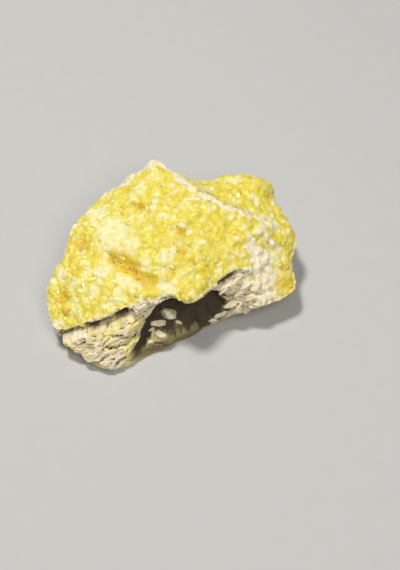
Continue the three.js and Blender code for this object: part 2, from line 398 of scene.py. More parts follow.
@dataclass(frozen=True)
class CrustMap:
    """Where the sulfur crust is pale or deep in colour, where cream rock shows, and its relief."""

    pale: Marks = (
        *patches(
            (-18.2, 4.3, 21.0, 6.0, 1.0), (-23.6, 12.8, 20.3, 3.6, 0.8), (-13.1, -1.0, 21.4, 3.2, 0.8),
            (-10.3, 18.2, 24.1, 3.0, 0.5), (-6.1, 13.8, 24.7, 1.5, 0.8), (-7.3, 9.7, 23.2, 1.4, 0.6),
            (-2.1, -6.8, 22.6, 3.0, 1.0), (-14.3, -12.3, 18.0, 2.8, 0.9), (-8.0, -13.3, 18.3, 2.1, 0.9),
            (-1.4, -16.3, 19.5, 3.0, 0.9), (-20.8, -7.7, 17.7, 3.6, 0.8), (-23.3, -13.5, 15.3, 3.4, 0.6),
            (-33.3, -6.3, 13.7, 2.6, 0.6), (-30.6, -10.6, 13.6, 1.5, 0.9), (-15.9, -18.0, 16.1, 2.2, 0.6),
            (-8.0, -7.7, 20.4, 2.6, 0.75), (-29.8, -15.0, 12.3, 1.8, 0.5), (12.0, 11.9, 24.0, 1.6, 0.9),
            (4.0, 10.7, 25.2, 1.5, 0.5), (2.9, 4.6, 24.7, 1.9, 0.6), (9.2, 6.6, 23.8, 1.1, 0.6),
            (11.0, -7.2, 20.7, 1.8, 0.4), (19.4, 28.0, 19.6, 1.6, 0.8), (15.3, 25.7, 20.6, 1.8, 0.4),
            (35.0, 9.3, 16.0, 2.6, 0.5), (25.5, 21.5, 19.5, 2.6, 0.5), (27.0, 5.5, 19.5, 3.2, 0.55),
            (31.0, 11.0, 17.5, 3.4, 0.45), (11.5, 24.0, 22.0, 3.0, 0.4)),
        Streak(((30.5, 1.0), (32.0, -4.0), (31.5, -9.0)), 3.0, 0.8),
    )
    amber: Marks = (
        *patches(
            (-10.1, 12.8, 23.7, 2.4, 1.1), (2.6, 1.8, 24.2, 1.9, 1.0), (3.5, -4.5, 22.7, 2.0, 0.9),
            (0.3, -11.2, 21.3, 1.4, 0.9), (-28.5, -7.2, 15.7, 1.9, 0.6), (-28.5, 2.9, 17.1, 3.8, 0.75),
            (-33.0, -13.0, 10.9, 2.6, 0.9), (-31.9, -17.4, 10.2, 2.2, 0.8), (-29.0, -20.2, 10.3, 2.2, 0.5),
            (-7.3, -18.1, 18.1, 2.2, 0.5), (16.8, 5.6, 22.7, 1.4, 0.9), (2.1, 21.0, 25.2, 1.7, 0.8),
            (4.3, 15.6, 25.5, 1.6, 0.6), (12.9, 14.5, 23.5, 1.6, 0.6), (22.5, -1.5, 20.2, 2.0, 0.8),
            (34.3, -2.2, 12.7, 2.6, 0.8), (34.0, -6.8, 11.0, 4.5, 0.75)),
        Streak(((-17.9, -3.2), (-16.1, -4.9), (-13.3, -6.9), (-11.1, -8.8), (-9.3, -11.1),
                (-6.5, -13.4)), 2.3, 0.95),
    )
    cream: Marks = (
        *patches(
            (-8.0, 29.2, 25.5, 3.0, 0.9), (6.1, 18.7, 25.9, 2.4, 1.0), (19.5, 12.7, 22.5, 2.3, 0.9),
            (27.2, -0.8, 17.5, 2.6, 0.9), (-35.2, -21.0, 6.5, 2.4, 1.0), (30.0, 9.9, 18.1, 1.8, 1.1),
            (-37.0, -12.8, 9.7, 1.8, 0.5)),
        Streak(((-15.5, 24.7), (-11.3, 28.9), (-6.4, 31.3), (-2.7, 28.4), (2.0, 25.6)), 1.9, 1.0),
        Streak(((-32.6, 6.9), (-30.6, 9.9), (-29.0, 12.3), (-26.0, 15.3)), 0.9, 0.8),
        Streak(((2.0, 25.6), (5.8, 19.4), (9.2, 17.4), (12.3, 16.4), (15.4, 14.4), (18.5, 12.7),
                (22.2, 12.7), (26.3, 12.0)), 2.9, 0.82),
        Streak(((26.3, 12.0), (27.9, 6.2), (30.4, 4.2), (33.0, 3.4)), 1.2, 0.75),
        Streak(((4.0, 14.2), (7.2, 14.3), (10.6, 16.0)), 0.6, 0.8),
        Streak(((23.5, 2.9), (25.2, 0.5)), 1.4, 0.9),
        Streak(((26.0, -1.0), (27.4, -4.0), (28.2, -9.0), (27.6, -11.5)), 4.3, 0.95),
    )
    hollows: Marks = (
        *patches(
            (-10.6, 12.5, 23.4, 1.7, 1.2), (-8.6, 10.5, 23.4, 1.4, 0.6), (16.8, 5.6, 22.4, 1.3, 1.1),
            (18.2, 7.4, 22.4, 1.0, 0.6), (3.5, -4.5, 22.2, 1.4, 0.6), (0.3, -11.2, 21.3, 1.1, 0.6),
            (-33.0, -13.0, 10.9, 1.3, 0.9), (-27.5, 11.2, 20.5, 1.0, 0.5), (-6.5, -18.8, 17.6, 1.2, 0.5),
            (-30.2, -19.8, 10.4, 1.2, 0.8)),
        Streak(((-18.2, -3.6), (-13.6, -6.9), (-9.3, -11.1), (-6.8, -13.2)), 1.9, 0.9),
        Streak(((1.2, 2.4), (2.6, 1.5), (4.4, 2.2)), 0.8, 0.5),
    )
    humps: Marks = (
        *patches(
            (-6.4, 31.3, 25.0, 3.4, 1.3), (22.0, 29.0, 17.5, 4.5, 0.7), (25.5, 26.5, 17.0, 3.2, 1.9),
            (2.9, 4.6, 24.7, 1.9, 0.9), (-2.1, -6.8, 22.6, 2.8, 0.9), (-31.9, -17.4, 10.2, 1.6, 0.7),
            (30.0, 9.9, 18.1, 1.6, 0.8), (-14.3, -12.3, 18.0, 2.2, 0.5), (-6.1, 13.8, 24.7, 1.4, 0.6)),
        Streak(((5.8, 19.0), (9.2, 17.4), (12.3, 16.4), (15.4, 14.4), (18.5, 12.7),
                (22.2, 12.7)), 1.3, 0.5),
    )


@dataclass(frozen=True)
class RockMap:
    """Where the limestone is yellow, grey-blue, stained, clean, cracked or bulging, and where shadow is
    painted.
    """

    yellow: Marks = (
        *patches(
            (-15.7, -22.8, 12.2, 3.0, 0.9), (-9.8, -23.3, 11.1, 3.2, 0.8), (-18.4, -24.9, 9.0, 3.4, 0.9),
            (-18.4, -27.3, 6.2, 2.6, 0.7), (-31.0, -27.2, 4.0, 3.0, 0.8), (-24.0, -26.8, 5.0, 3.0, 0.7),
            (-23.5, -24.5, 8.4, 3.0, 0.7), (-13.5, -24.8, 8.6, 2.6, 0.8), (35.0, -7.8, 9.0, 5.0, 0.9)),
        Streak(((-33.5, -30.5, 2.4), (-28.0, -32.6, 2.2), (-22.0, -32.4, 1.6)), 2.0, 1.0),
        Streak(((-12.0, -28.3), (-2.0, -23.3), (8.0, -18.3)), 3.0, 1.0),
        Streak(((7.0, 19.6), (12.3, 17.4), (18.5, 13.7), (26.3, 13.0)), 2.4, 0.62),
    )
    blue: Marks = (
        *patches(
            (21.6, -12.9, 10.7, 1.3, 1.0), (22.5, -14.1, 8.6, 1.3, 0.8), (24.2, -8.7, 14.4, 1.3, 0.8),
            (17.6, -10.7, 16.7, 1.4, 0.7), (14.0, -12.8, 15.0, 1.3, 0.5)),
    )
    rust: Marks = (
        *patches(
            (26.5, -13.3, 8.8, 1.8, 1.0), (30.4, -12.3, 9.0, 1.8, 0.8), (18.9, -14.7, 6.8, 1.6, 0.8),
            (-15.8, -20.9, 15.7, 1.1, 1.1), (-27.5, -26.6, 4.6, 2.6, 0.6), (-19.7, -28.3, 4.6, 3.6, 0.62)),
        Streak(((8.0, 19.0, 25.4), (12.0, 17.3, 23.6), (16.0, 15.4, 23.0), (20.0, 13.9, 22.2),
                (26.0, 13.0, 19.6)), 2.3, 0.8),
    )
    # Hollow under the crust and cracks under its lip: pushed into the stone, and painted with shadow there
    dark: Marks = (
        *patches(
            (0.5, -17.0, 11.5, 3.4, 1.3), (-2.0, -19.5, 6.5, 3.8, 1.3), (2.6, -17.4, 7.6, 4.6, 1.4),
            (7.0, -15.8, 6.5, 5.4, 1.4), (12.0, -13.6, 8.0, 3.8, 1.3)),
        Streak(((-2.7, -16.6, 13.0), (-4.5, -18.6, 11.1), (-6.4, -20.7, 8.5), (-7.8, -23.3, 6.5),
                (-9.3, -25.8, 4.3), (-10.5, -27.6, 3.3)), 1.5, 1.25),
        Streak(((-34.0, -24.4, 5.4), (-31.1, -24.4, 6.5), (-25.9, -23.2, 8.6), (-20.0, -23.3, 10.4),
                (-13.8, -21.7, 13.7)), 1.1, 0.9),
        Streak(((11.0, -14.4, 13.8), (14.5, -12.2, 16.0), (17.3, -10.2, 17.2),
                (20.5, -8.6, 17.7)), 0.9, 0.6),
    )
    clean: Marks = (
        *patches(
            (19.5, -10.6, 14.0, 6.0, 0.9), (25.5, -12.5, 10.0, 4.5, 0.8), (-11.0, -21.5, 13.0, 3.5, 0.6),
            (-31.0, -25.4, 4.5, 3.0, 0.6)),
    )
    # Painted shadow on the strip along the foot, which lies under the crust's overhang
    painted_strip_shadow: Marks = (
        Streak(((-10.5, -27.6, 2.2), (-3.8, -24.9, 1.8), (2.2, -21.6, 1.2), (8.3, -18.0, 1.2),
                (14.4, -16.0, 4.0)), 3.4, 0.62),
    )
    crack: Streak = Streak(
        ((-34.0, -24.6, 5.2), (-31.1, -24.6, 6.3), (-28.9, -24.5, 7.1), (-25.9, -23.4, 8.4),
         (-22.9, -23.3, 9.4), (-18.3, -23.5, 10.5), (-13.8, -21.9, 13.5), (-10.8, -20.9, 15.0)),
        1.2, 3.2)
    shoulder: Patch = Patch((28.5, 28.0, 16.5), 4.2)
    shoulder_push: tuple[float, float, float] = (2.4, 1.3, 0.0)


@dataclass(kw_only=True)
class Piece:
    """One visible piece of the specimen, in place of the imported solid."""

    name: str
    slot: Slot
    thing: bpy.types.Object = field(init=False)

    def hand_over(self) -> None:
        """Attach the piece to the root, and hide the imported solid that it stands in for."""
        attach(self.thing, "root")
        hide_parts(STONE_NODE)

    def dress(self, finish: bpy.types.Material) -> None:
        """Give the piece its finish, and report it.

        Args:
            finish: Its material.
        """
        self.thing.data.materials.clear()
        self.thing.data.materials.append(finish)
        log.info("%s: %d faces", self.name, len(self.thing.data.polygons))


@dataclass(kw_only=True)
class Stone(Piece):
    """The stone: its crust, its limestone, and what its surface is made of at each point.

    A point lower than the foot belongs to the face that it rests on. Other points stay above the
    table by the clearance. Edges from sharp_from degrees are kept sharp where less than bare_below
    of the surface is sulfur.
    """

    name: str = "native_sulfur"
    slot: Slot = Slot.ROCK
    voxel: float = 0.37
    settle: int = 5
    foot: float = 0.5
    clearance: float = 0.15
    push_in: float = 4.6
    spike: float = 0.16
    sharp_from: float = 36.0
    bare_below: float = 0.4
    crust: CrustMap = CrustMap()
    rock: RockMap = RockMap()
    seed: int = 11
    points: np.ndarray = field(init=False)
    normals: np.ndarray = field(init=False)
    sulfur: np.ndarray = field(init=False)
    powder: np.ndarray = field(init=False)
    honey: np.ndarray = field(init=False)
    grain_tone: np.ndarray = field(init=False)
    laid: np.ndarray = field(init=False)
    share: np.ndarray = field(init=False)
    painted_shadow: np.ndarray = field(init=False)
    clean: np.ndarray = field(init=False)
    clots: np.ndarray = field(init=False)
    beds: np.ndarray = field(init=False)
    area: float = field(init=False)

    def build(self) -> None:
        """Grow the stone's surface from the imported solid."""
        self._blank()
        self._read()
        self._fit_beds()
        self._find_crust()
        self._find_marks()
        self._shape_limestone()
        self._shape_crust()
        self._blunt()
        self._write_colours()
        self._sharpen()
        self.hand_over()

    def _blank(self) -> None:
        """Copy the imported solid, and divide it finely and evenly."""
        shape = bmesh.new()
        shape.from_mesh(bpy.data.objects[STONE_NODE].data)
        bmesh.ops.remove_doubles(shape, verts=shape.verts, dist=1e-6)
        for _ in range(2):
            relax(shape, [vert for vert in shape.verts if vert.co.z > 0.4 * MM], 0.35)
        rough = to_mesh(shape, "rough")
        self.thing = to_scene(self.name, rough)
        remesh = self.thing.modifiers.new("divide", "REMESH")
        remesh.mode = "VOXEL"
        remesh.voxel_size = self.voxel * MM
        fine = bpy.data.meshes.new_from_object(
            self.thing.evaluated_get(bpy.context.evaluated_depsgraph_get()))
        self.thing.modifiers.clear()
        self.thing.data = fine
        bpy.data.meshes.remove(rough)
        fine.name = self.name
        shape = bmesh.new()
        shape.from_mesh(fine)
        for _ in range(self.settle):
            relax(shape, shape.verts, 0.5)
        shape.to_mesh(fine)
        shape.free()

    def _read(self) -> None:
        """Read the surface's points, directions and area."""
        mesh = self.thing.data
        self.points = read(mesh.vertices, "co", 3) / MM
        self.normals = read(mesh.vertices, "normal", 3)
        self.area = float(read(mesh.polygons, "area").sum()) / MM**2

    def _move(self, shift: np.ndarray) -> None:
        """Move the surface, but never below the table, and leave the face that it rests on.

        Args:
            shift: How far each point moves.
        """
        points = self.points + shift
        low = self.points[:, 2] < self.foot
        points[:, 2] = np.where(low, self.points[:, 2], np.maximum(points[:, 2], self.clearance))
        self.thing.data.vertices.foreach_set("co", (points * MM).ravel())
        self.thing.data.update()
        self._read()

    def _noise(self, number: int) -> Noise:
        """One of the stone's own noises."""
        return Noise(self.seed + number)

    def _cells(self, places: np.ndarray, spacing: float, number: int) -> Cells:
        """One of the stone's own scatters of cells."""
        return Cells(places, spacing, self.area, self.seed + number)

    def _mark(self, marks: Marks, noise: Noise, size: float, rough: float, shift: float = 0.0,
              less: float = 0.0) -> np.ndarray:
        """How strong marks with ragged edges are at each point, from 0 to 1."""
        rags = rough * noise.layers(self.points + shift, size)
        return unit(strongest(self.points, marks) + rags - less)

    def _average(self, values: np.ndarray, times: int) -> np.ndarray:
        """Average values with those of the points beside them.

        Args:
            values: One row for each point.
            times: How many times to average.

        Returns:
            The averaged rows.
        """
        edges = read(self.thing.data.edges, "vertices", 2, np.int32)
        ends, others = edges.T.ravel(), edges[:, ::-1].T.ravel()
        count = len(values)
        share = 1.0 + np.bincount(ends, minlength=count)
        for _ in range(times):
            total = [np.bincount(ends, column[others], count) for column in values.T]
            values = (values + np.stack(total, axis=1)) / share[:, None]
        return values

    def _on_top(self) -> np.ndarray:
        """Distance in plan inside the crust's front edge, less than 0 outside it."""
        away = line_distance(self.points, CRUST_EDGE)
        return np.where(inside_outline(self.points, np.array(CRUST_EDGE + BACK_CORNERS)), away, -away)

    def _fit_beds(self) -> None:
        """Fit the broad dome that the crust follows, leaving out what lies well below it."""
        top = (self._on_top() > 1.5) & (self.normals[:, 2] > 0.5)
        terms = self._bed_terms(self.points)
        for _ in range(3):
            self.beds, *_ = np.linalg.lstsq(terms[top], self.points[top, 2], rcond=None)
            top &= terms @ self.beds - self.points[:, 2] < 3.0

    @staticmethod
    def _bed_terms(points: np.ndarray) -> np.ndarray:
        """Terms of the broad dome that the crust and the beds follow, one row for each point."""
        x, y = points[:, 0] / BED_SPAN, points[:, 1] / BED_SPAN
        return np.stack([np.ones_like(x), x, y, x * x, x * y, y * y], axis=1)

    def _depth_in_beds(self) -> np.ndarray:
        """Depth below the crust, so that the beds run along its edge in front of it.

        Returns:
            One depth for each point, growing downwards.
        """
        edge = nearest_on(self.points, CRUST_EDGE)
        under = np.where((self._on_top() > 0.0)[:, None], self.points[:, :2], edge)
        return self._bed_terms(under) @ self.beds - self.points[:, 2]

    def _find_crust(self) -> None:
        """Find how much each point belongs to the crust rather than to the limestone."""
        ragged = 0.5 * self._noise(1).layers(self.points, 3.0)
        inside = smoothstep(self._on_top() + ragged, -0.2, 0.7)
        facing_up = smoothstep(self.normals[:, 2] + 0.12 * ragged, 0.05, 0.35)
        under_lip = smoothstep(self._depth_in_beds() + ragged, 3.2, 4.6)
        under_lip *= smoothstep(self.points[:, 0], 22.0, 18.0)
        self.share = inside * facing_up * (1.0 - under_lip)

    def _find_marks(self) -> None:
        """Find where shadow is painted in the hollow under the crust, and the clean limestone, before they
        move.
        """
        noise = self._noise(10)
        # Painted shadow in the hollow under the crust and in the cracks under its lip
        self.painted_shadow = self._mark(self.rock.dark, noise, 2.0, 0.3)
        ragged = 0.3 * noise.layers(self.points, 2.0)
        self.clean = smoothstep(strongest(self.points, self.rock.clean) + ragged, 0.2, 0.7)

    def _laid_out(self) -> np.ndarray:
        """Places of the points in plan and in the wavy beds, with the depth stretched.

        Returns:
            One place for each point, so that marks drawn there run along the beds.
        """
        wave = self._noise(2)
        depth = self._depth_in_beds() + 0.8 * wave.layers(self.points, 11.0)
        depth += 0.3 * wave.layers(self.points, 3.0)
        return np.stack([self.points[:, 0], self.points[:, 1], BED_STRETCH * depth], axis=1)

    def _ledges(self, depth: np.ndarray, thickness: float, reach: float, number: int) -> np.ndarray:
        """Beds that stand out and fall back one above another.

        Args:
            depth: Depth in the beds.
            thickness: Typical thickness of a bed.
            reach: Typical difference between two beds.
            number: Which stack of beds this is.

        Returns:
            How far each point stands out.
        """
        steps = np.random.default_rng(self.seed + number).normal(scale=reach, size=256)
        place = depth / thickness + 100.0
        bed = np.floor(place).astype(int)
        here, there = steps[bed & 255], steps[(bed + 1) & 255]
        return here + (there - here) * smoothstep(place - bed, 0.78, 1.0)

    def _broken_face(self) -> np.ndarray:
        """How far each point of the limestone stands out, by ledges, chips, splits and grain.

        Returns:
            One height for each point.
        """
        self.laid = self._laid_out()
        depth = self.laid[:, 2] / BED_STRETCH
        ledges = self._ledges(depth, 2.6, 0.55, 3) + self._ledges(depth, 0.95, 0.30, 4)
        come_and_go = 0.35 + 0.65 * smoothstep(self._noise(2).at(self.points, 8.0), -0.4, 0.5)
        chips = self._cells(self.laid, 4.4, 5).facets(0.08, 0.24)
        small_chips = self._cells(self.laid, 1.9, 6).facets(0.10, 0.12)
        split = bell(self._noise(9).layers(self.laid, 5.0, 2), 0.06)
        out = come_and_go * ledges + (1.0 + 1.5 * self.clean) * chips
        out -= (0.35 + 0.45 * self.clean) * split
        out += (1.0 - 0.5 * self.clean) * small_chips
        return out + 0.09 * self._noise(7).layers(self.laid, 1.3, 2)

    def _shape_limestone(self) -> None:
        """Break the limestone into ledges and chips, and open its hollow and its crack."""
        side = (1.0 - self.share) * smoothstep(self.points[:, 2], 0.3, 2.2)
        self._move((side * np.clip(self._broken_face(), -1.8, 1.6))[:, None] * self.normals)
        hollow = unit(strongest(self.points, self.rock.dark)) * side
        crack = self._crack_under_crust()
        self._move(self.push_in * hollow[:, None] * np.array([0.0, 1.0, 0.0]) + crack)
        eased = self._average(self.points, 3) - self.points
        strained = unit(hollow + 0.5 * np.linalg.norm(crack, axis=1))
        self._move(0.8 * strained[:, None] * eased)
        shoulder = self.rock.shoulder.over(self.points)
        self._move(shoulder[:, None] * np.array(self.rock.shoulder_push))

    def _crack_under_crust(self) -> np.ndarray:
        """Open the crack that runs below the crust on the left.

        Returns:
            How far each point moves.
        """
        wander = 0.5 * self._noise(8).layers(self.points, 5.0)
        depth = self.rock.crack.over(self.points + wander[:, None] * (0.0, 0.2, 0.7))
        depth = depth * smoothstep(-self.points[:, 0], 6.0, 24.0)
        return depth[:, None] * np.array([0.05, 1.0, 0.05])

    def _shape_crust(self) -> None:
        """Give the crust its lumps, hollows and intergrown grains."""
        soft = self._noise(20)
        powder = self._mark(self.crust.pale, soft, 4.0, 0.35)
        rough = (1.0 - 0.5 * powder) * (1.0 - 0.65 * self._cream_share())
        lumps, grains, fine, middling = (
            self._cells(self.points, spacing, 21 + number)
            for number, spacing in enumerate((4.6, 1.7, 0.95, 2.7)))
        wobble = [self._noise(60 + axis).at(self.points, 1.2) for axis in range(3)]
        wobbled = self.points + 0.6 * np.stack(wobble, axis=1)
        self.clots = self._cells(wobbled, 2.2, 25).spots(0.2, 1.2, 0.5)
        bulge = 0.55 * lumps.domes() + 0.38 * soft.layers(self.points, 5.5)
        bulge += 0.24 * middling.domes() + 0.12 * self.clots
        coarse = 0.12 * grains.domes() + grains.facets(0.10, 0.04)
        out = bulge + rough * (coarse + 0.03 * fine.domes() + fine.facets(0.05, 0.01))
        hollows = 1.25 * strongest(self.points, self.crust.hollows)
        out += strongest(self.points, self.crust.humps) - hollows
        tone = 0.6 * grains.tone() + 0.4 * middling.tone()
        self.grain_tone = self._average(tone[:, None], 1)[:, 0]
        self._move((self.share * (out - 0.35))[:, None] * self.normals)

    def _blunt(self) -> None:
        """Knock off thin spikes, which stand out too far from the points beside them."""
        for _ in range(3):
            back = self._average(self.points, 1) - self.points
            reach = np.linalg.norm(back, axis=1)
            self._move(unit(1.0 - self.spike / np.maximum(reach, 1e-6))[:, None] * back)

    def _cream_share(self) -> np.ndarray:
        """Where bare cream limestone shows through the crust, 1, and where it doesn't, 0."""
        edge = self._noise(30).layers(self.points, 3.2, 4)
        return smoothstep(strongest(self.points, self.crust.cream) + 0.38 * edge, 0.32, 0.72)

    def _write_colours(self) -> None:
        """Store what the surface is made of at each point, and where shade is painted, for the finish to
        read.
        """
        mottle = self._noise(40)
        cream = self._cream_share()
        self.sulfur = self.share * (1.0 - cream)
        self.powder = unit(
            strongest(self.points, self.crust.pale)
            + 0.30 * mottle.layers(self.points, 3.4) + 0.12 * mottle.layers(self.points + 50.0, 1.5)
            + 0.55 * self.clots - 0.08)
        self.honey = self._mark(self.crust.amber, mottle, 3.0, 0.25, 90.0, 0.06)
        mesh = self.thing.data
        store(mesh, "crust_mix", self.sulfur, self.powder, self.honey)
        store(mesh, "rock_mix", self._mark(self.rock.yellow, mottle, 2.4, 0.35, 20.0, 0.05),
              self._mark(self.rock.blue, mottle, 4.0, 0.25, 70.0, 0.12),
              self._mark(self.rock.rust, mottle, 3.0, 0.35, 10.0, 0.2))
        # Painted shade: shadow in the hollow under the crust and on the strip at its foot, and shade in
        # creases, which the finish turns tan and near black
        dark = np.maximum(self.painted_shadow**0.6, strongest(self.points, self.rock.painted_strip_shadow))
        crease = np.maximum(self._hollowness() * (1.0 - 0.4 * self.clean), dark * (1.0 - self.share))
        bare = np.maximum(self.share * cream, (1.0 - self.share) * self.clean)
        store(mesh, "surface_mix", bare, self.grain_tone, crease)
        store_places(mesh, "laid", self.laid)

    def _hollowness(self) -> np.ndarray:
        """How far each point lies below the points round it, towards 1 in a crease."""
        below = ((self._average(self.points, 4) - self.points) * self.normals).sum(axis=1)
        return unit(below / 0.32)

    def _sharpen(self) -> None:
        """Keep the limestone's broken edges sharp and the crust's grains soft."""
        mesh = self.thing.data
        mesh.shade_smooth()
        mesh.set_sharp_from_angle(angle=math.radians(self.sharp_from))
        marks = mesh.attributes["sharp_edge"].data
        bare = self.sulfur[read(mesh.edges, "vertices", 2, np.int32)[:, 0]] < self.bare_below
        marks.foreach_set("value", read(marks, "value", 1, bool) & bare)


@dataclass(kw_only=True)
class Crystals(Piece):
    """Small sulfur crystals, all of one range of size, sitting in the crust."""

    slot: Slot = Slot.CRYSTAL
    count: int
    smallest: float
    largest: float
    sunk: float
    habits: tuple[Habit, ...]
    seed: int
    kinds: int = 6
    likes_honey: float = 0.5
    draw: np.random.Generator = field(init=False)

    def build(self, stone: Stone) -> None:
        """Grow the crystals on the stone.

        Args:
            stone: The finished stone.
        """
        self.draw = draw = np.random.default_rng(self.seed)
        moulds = [self._mould(self.habits[kind % len(self.habits)]) for kind in range(self.kinds)]
        chance = self._chance(stone)
        chosen = draw.choice(len(chance), self.count, replace=False, p=chance / chance.sum())
        sizes = self.smallest + (self.largest - self.smallest) * draw.beta(1.4, 3.2, self.count)
        shape, tones = bmesh.new(), []
        for index, size in zip(chosen, sizes):
            mould = moulds[draw.integers(self.kinds)]
            place = Vector(stone.points[index] - stone.normals[index] * size * self.sunk)
            grown = Matrix.Translation(place * MM) @ self._turn(stone.normals[index])
            corners = add_copy(shape, mould, grown @ Matrix.Scale(size * MM, 4))
            tones += [self._tone(stone, index)] * corners
        for mould in moulds:
            bpy.data.meshes.remove(mould)
        self.thing = to_scene(self.name, to_mesh(shape, self.name))
        store(self.thing.data, "crystal_mix", *np.array(tones).T)
        self.hand_over()

    def _chance(self, stone: Stone) -> np.ndarray:
        """How likely a crystal is to grow at each point.

        Args:
            stone: The finished stone.

        Returns:
            A weight for each point.
        """
        bright = 1.0 - 0.75 * stone.powder
        honey = 1.0 - self.likes_honey + self.likes_honey * 3.0 * stone.honey
        above = (stone.points[:, 2] > 4.0).astype(float)
        return unit(stone.sulfur - 0.4) * bright * honey * above + 1e-12

    def _tone(self, stone: Stone, index: int) -> tuple[float, float, float]:
        """Paleness and depth of colour of the crystal at one point, and a free number."""
        pale = unit(stone.powder[index] + self.draw.normal(scale=0.28))
        return pale, unit(stone.honey[index] + self.draw.normal(scale=0.16)), self.draw.random()

    def _turn(self, normal: np.ndarray) -> Matrix:
        """A random turn that leans a crystal's axis towards the surface's direction.

        Args:
            normal: Direction of the surface.

        Returns:
            A rotation matrix.
        """
        axis = Vector(normal + self.draw.normal(scale=0.22, size=3)).normalized()
        turn = Vector((0.0, 0.0, 1.0)).rotation_difference(axis).to_matrix()
        spin = Matrix.Rotation(self.draw.uniform(0.0, 2.0 * math.pi), 3, "Z")
        return (turn @ spin).to_4x4()

    def _mould(self, habit: Habit) -> Mesh:
        """Shape one kind of crystal, about 1 across, from a block cut on top.

        Args:
            habit: Shape that it grows in.

        Returns:
            Its mesh.
        """
        draw = self.draw
        shape = bmesh.new()
        bmesh.ops.create_cube(shape, size=1.3)
        if habit is Habit.DIPYRAMID:
            ways = [(sx * 0.62, sy * 0.74, 0.5) for sx in (-1, 1) for sy in (-1, 1)]
            reach = 0.34
        else:
            ways = [(*draw.normal(size=2), draw.uniform(0.3, 1.5)) for _ in range(7)]
            reach = 0.42
        cleave(shape, [(Vector(way), reach * draw.uniform(0.88, 1.1)) for way in ways])
        return to_mesh(shape, "mould")


@dataclass(kw_only=True)
class BrokenEnds(Piece):
    """Angular broken ends of beds: the place, width, height and roll in degrees of each."""

    name: str = "limestone_chips"
    slot: Slot = Slot.ROCK
    seed: int = 71
    root: float = 4.4
    rock: RockMap = RockMap()
    ends: tuple[tuple[float, ...], ...] = (
        (-1.3, -18.0, 9.3, 4.8, 3.2, 12.0), (-4.4, -20.1, 7.7, 4.6, 2.3, 5.0),
        (-4.7, -22.6, 5.9, 5.8, 3.4, 10.0), (1.6, -18.4, 6.0, 2.6, 1.3, 8.0),
        (-6.6, -24.6, 4.3, 3.0, 1.6, -20.0), (14.5, -15.6, 6.2, 4.6, 1.6, -22.0),
        (17.4, -14.3, 9.0, 5.2, 1.9, -30.0), (12.0, -16.4, 4.4, 3.6, 1.8, -12.0),
        (19.9, -14.8, 7.0, 4.6, 1.8, -16.0), (18.8, -10.9, 16.2, 5.8, 1.7, -40.0),
        (21.9, -10.9, 14.0, 6.2, 2.2, -34.0), (15.8, -12.6, 14.0, 4.4, 1.5, -44.0),
        (23.4, -13.1, 10.9, 6.0, 2.2, -26.0), (20.3, -12.0, 11.9, 5.0, 1.8, -34.0),
        (24.9, -10.5, 13.3, 4.4, 2.6, -28.0), (26.6, -13.7, 9.5, 5.2, 1.8, -18.0),
    )

    def build(self) -> None:
        """Break the beds' ends to shape, each rooted in the stone behind it."""
        draw = np.random.default_rng(self.seed)
        inward = Matrix.Translation((0.0, 0.5 * self.root * MM, 0.0))
        shape = bmesh.new()
        for *place, width, height, roll in self.ends:
            end = self._end((width, self.root, height), draw)
            lean = Matrix.Rotation(math.radians(draw.uniform(-58.0, -34.0)), 4, "X")
            slope = Matrix.Rotation(math.radians(roll + draw.uniform(-5.0, 5.0)), 4, "Y")
            add_copy(shape, end, Matrix.Translation(Vector(place) * MM) @ lean @ slope @ inward)
            bpy.data.meshes.remove(end)
        self.thing = to_scene(self.name, to_mesh(shape, self.name))
        self._write_colours()
        self.hand_over()

    @staticmethod
    def _end(size: tuple[float, float, float], draw: np.random.Generator) -> Mesh:
        """Break one bed's end.

        Args:
            size: Its width, its depth into the stone and its height.
            draw: Source of chance.

        Returns:
            Its mesh.
        """
        shape = bmesh.new()
        bmesh.ops.create_cube(shape, size=1.0)
        turns = draw.uniform(0.0, 2.0 * math.pi) + np.arange(6) * 1.05 + draw.normal(scale=0.3, size=6)
        ways = [Vector((math.cos(turn), draw.uniform(-0.6, 0.2), math.sin(turn))) for turn in turns]
        cleave(shape, [(way, draw.uniform(0.34, 0.54)) for way in ways])
        bmesh.ops.scale(shape, vec=Vector(size) * MM, verts=shape.verts)
        bmesh.ops.triangulate(shape, faces=shape.faces)
        bmesh.ops.subdivide_edges(shape, edges=shape.edges, cuts=3, use_grid_fill=True,
                                  fractal=0.35, seed=int(draw.integers(999)))
        relax(shape, shape.verts, 0.15)
        return to_mesh(shape, "bed_end")

    def _write_colours(self) -> None:
        """Store what the ends are made of, under the names that the stone's finish reads."""
        mesh = self.thing.data
        places = read(mesh.vertices, "co", 3) / MM
        none = np.zeros(len(places))
        store(mesh, "crust_mix", none, none, none)
        store(mesh, "rock_mix", none + 0.2, strongest(places, self.rock.blue),
              0.7 * strongest(places, self.rock.rust))
        store(mesh, "surface_mix", none + 0.9, none + 0.5, none)
        store_places(mesh, "laid", places * (1.0, 1.0, BED_STRETCH))


